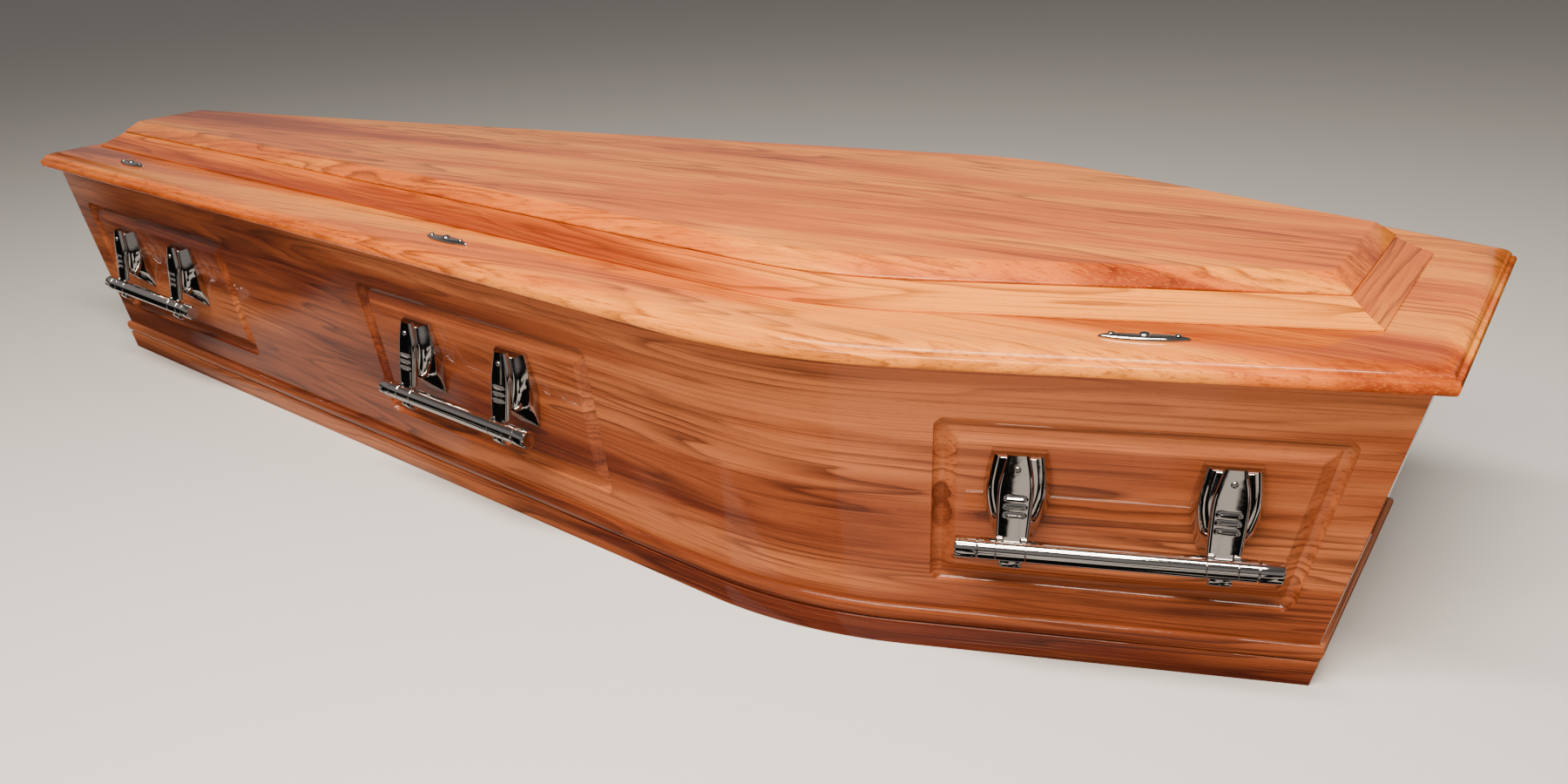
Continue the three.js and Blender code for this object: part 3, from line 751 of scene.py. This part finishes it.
def arm_body():
    """Arm 30 mm wide with three raised ribs, its tongue, barrel, keeper, ears and domed screw head."""
    ribs = (32.0, 39.0, 46.0)
    blade = []
    widths = blend_through([(28.5, 12.0), (30.0, 34.0), (29.6, 57.0), (18.0, 82.0)], 72)
    for width, height in widths:
        half = width / 2
        crest = max(math.exp(-((height - rib) / 1.3) ** 2) for rib in ribs)
        for i in range(25):
            x = -half + width * i / 24
            edge = min(1.0, (half - abs(x)) / 3.0)
            dome = 2.2 * (1 - math.sqrt(max(0.0, 1 - (1 - edge) ** 2))) + 0.9 * (x / 15.0) ** 2
            rib = 1.3 * crest * min(1.0, max(0.0, 1 - (abs(x) - 8.0) / 1.5))
            blade.append(Vector((x, -stand_off(height) - 3.0 + dome - rib, height)) * MM)
        for x in (half, -half):
            blade.append(Vector((x, -stand_off(height) + 3.0, height)) * MM)
    parts = [(blade, ring_faces(len(widths), 27))]
    tongue = []
    for height in (0.0, 8.0, 13.0):
        off = -stand_off(height)
        for x, y in ((-7.5, 3), (-7.5, -2.2), (-6.7, -3), (6.7, -3), (7.5, -2.2), (7.5, 3)):
            tongue.append(Vector((x, off + y, height)) * MM)
    parts.append((tongue, ring_faces(3, 6)))
    # The barrel is a tube: its two caps give way to the inner wall round the bar
    half = BARREL / 2
    barrel = [(-half, 6.3), (-half, 9.2), (-half + 0.5, BAR_RADIUS)]
    barrel += [(-x, r) for x, r in reversed(barrel)]
    size = 48
    verts, faces = revolved([(x * MM, r * MM) for x, r in barrel], size)
    tube = faces[:-2]
    tube += [(5 * size + i, 5 * size + (i + 1) % size, (i + 1) % size, i) for i in range(size)]
    parts.append(([v + Vector((0, -BAR_OFF * MM, 0)) for v in verts], tube))
    keeper = [(-9.5, 0.4), (-9.5, 5.6), (-9.2, 6.5), (-8.3, 7.0)]
    keeper += [(-x, r) for x, r in reversed(keeper)]
    verts, faces = revolved([(x * MM, r * MM) for x, r in keeper], 40)
    parts.append(([v + Vector((0, -BAR_OFF * MM, -10 * MM)) for v in verts], faces))
    ear = [(-2.6, 0.4), (-2.6, 2.2), (-2.2, 2.7)]
    ear += [(-x, r) for x, r in reversed(ear)]
    verts, faces = revolved([(x * MM, r * MM) for x, r in ear], 24)
    for side in (-1, 1):
        parts.append(([v + Vector((side * 10.3 * MM, -39.0 * MM, 10.5 * MM)) for v in verts], faces))
    dome = [(0.0, 3.2)]
    for i in range(1, 8):
        turn = i / 7 * math.pi / 2
        dome.append((2.0 * math.sin(turn), max(3.2 * math.cos(turn), 0.05)))
    verts, faces = revolved([(x * MM, r * MM) for x, r in dome], 24)
    screw = 70.5
    head = [Vector((v.y, -v.x - (stand_off(screw) + 2.8) * MM, v.z + screw * MM)) for v in verts]
    parts.append((head, faces))
    return joined(parts)


for side in ("near", "far"):
    for panel in PANELS:
        start, along, angle = bottom[0], along_foot, foot_angle
        if panel["stretch"] == "head":
            start, along, angle = bottom_shoulder, along_head, head_angle
        spot = start + along * panel["handle"]
        if side == "far":
            spot, angle = Vector((spot.x, -spot.y)), math.pi - angle
        wall = Matrix.Translation((spot.x, spot.y, 0)) @ Matrix.Rotation(angle, 4, "Z")
        wall = wall @ Matrix.Rotation(lean_angle, 4, "X") @ Matrix.Translation((0, 0, BAR_RISE))
        title = f"{side}_{panel['name']}_handle"
        words = title.replace("_", " ")
        place_piece(f"{words} bar", bar_body(), wall, f"{title}_bar")
        for end in (-1, 1):
            which = "head" if (end if side == "near" else -end) > 0 else "foot"
            spaced = wall @ Matrix.Translation((end * ARM_PLACE * MM, 0, 0))
            plate, arm = f"{title}_{which}_plate", f"{title}_{which}_arm"
            place_piece(f"{words} {which} plate", plate_body(), spaced, plate)
            place_piece(f"{words} {which} arm", arm_body(), spaced, arm, 38.0)


# Studio: a plain pale floor of matt paint that doesn't show in the gloss, a key softbox in front of the
# coffin, a long one above it, and a room of pale walls with a dark band low down and bright cards below
# the horizon, which give the chrome and the lacquer something to mirror.
floor_mesh = bpy.data.meshes.new("studio floor")
floor_body = bmesh.new()
corners = [floor_body.verts.new((x, y, 0)) for x, y in ((-300, -300), (300, -300), (300, 300), (-300, 300))]
floor_body.faces.new(corners)
floor_body.to_mesh(floor_mesh)
floor_body.free()
studio_floor = bpy.data.objects.new("studio_floor", floor_mesh)
bpy.context.scene.collection.objects.link(studio_floor)
paper = bpy.data.materials.new("pale studio floor, matt paint")
paper.use_nodes = True
paper.node_tree.nodes.clear()
matt = add(paper.node_tree, "ShaderNodeBsdfPrincipled", {"Base Color": colour("#DEDBD7"), "Roughness": 0.9})
add(paper.node_tree, "ShaderNodeOutputMaterial", {"Surface": matt.outputs[0]})
floor_mesh.materials.append(paper)
studio_floor.visible_glossy = False


def softbox(name, place, target, width, height, power, tint):
    """Rectangular area light that faces its target."""
    light = bpy.data.lights.new(name, "AREA")
    light.shape = "RECTANGLE"
    light.size, light.size_y = width, height
    light.energy = power
    light.color = colour(tint)[:3]
    lamp = bpy.data.objects.new(name, light)
    lamp.location = place
    lamp.rotation_euler = (Vector(target) - Vector(place)).to_track_quat("-Z", "Y").to_euler()
    bpy.context.scene.collection.objects.link(lamp)


softbox("key softbox", (0.75, -1.5, 1.6), (0.35, -0.3, 0.2), 1.2, 0.3, 37, "#FFF1DF")
softbox("overhead softbox", (0.7, -1.1, 2.3), (0.6, -0.2, 0.3), 2.2, 0.3, 112, "#FFF6EA")

world = bpy.data.worlds.new("studio")
world.use_nodes = True
room = world.node_tree
room.nodes.clear()
direction = add(room, "ShaderNodeTexCoord").outputs["Generated"]
height = add(room, "ShaderNodeSeparateXYZ", {"Vector": direction}).outputs["Z"]
walls = ramp(
    room, height,
    [
        (0.0, colour("#30302F")), (0.06, colour("#454341")), (0.16, (1.2, 1.12, 1.06, 1.0)),
        (0.42, (1.3, 1.2, 1.15, 1.0)), (0.62, colour("#B5B0AB")), (1.0, colour("#D8D4CF")),
    ],
)
patches = add(
    room, "ShaderNodeTexNoise", {"Vector": direction, "Scale": 2.6, "Detail": 1.5, "Distortion": 0.4}
)
cards = ramp(room, patches.outputs["Fac"], [(0.53, grey(0.0)), (0.565, grey(1.0))])
low = ramp(room, math_node(room, height, 0.02), [(0.004, grey(1.0)), (0.012, grey(0.0))])
lit = add(
    room, "ShaderNodeMix",
    {"Factor": math_node(room, cards, low, "MULTIPLY"), "A": walls, "B": (3.4, 3.0, 2.6, 1.0)},
    data_type="RGBA",
)
surround = add(room, "ShaderNodeBackground", {"Color": lit.outputs["Result"], "Strength": 0.22})
add(room, "ShaderNodeOutputWorld", {"Surface": surround.outputs[0]})
bpy.context.scene.world = world

# Camera at the photo's place and angle, with a small roll, and shifted to the photo's framing
forward = Vector((-0.487295, 0.707411, -0.511970)).normalized()
level_right = Vector((0.82353, 0.56728, 0.0)).normalized()
level_up = level_right.cross(forward)
roll = -0.0401012
right = level_right * math.cos(roll) + level_up * math.sin(roll)
up = level_up * math.cos(roll) - level_right * math.sin(roll)
lens = bpy.data.cameras.new("photo camera")
lens.sensor_width = 36.0
lens.lens = 27.156
lens.shift_x = 0.00525
lens.shift_y = 0.1230
lens.clip_start = 0.05
camera = bpy.data.objects.new("photo camera", lens)
axes = Matrix((right, up, -forward)).transposed().to_4x4()
camera.matrix_world = Matrix.Translation((1.04021, -1.15431, 0.64661)) @ axes
bpy.context.scene.collection.objects.link(camera)
bpy.context.scene.camera = camera
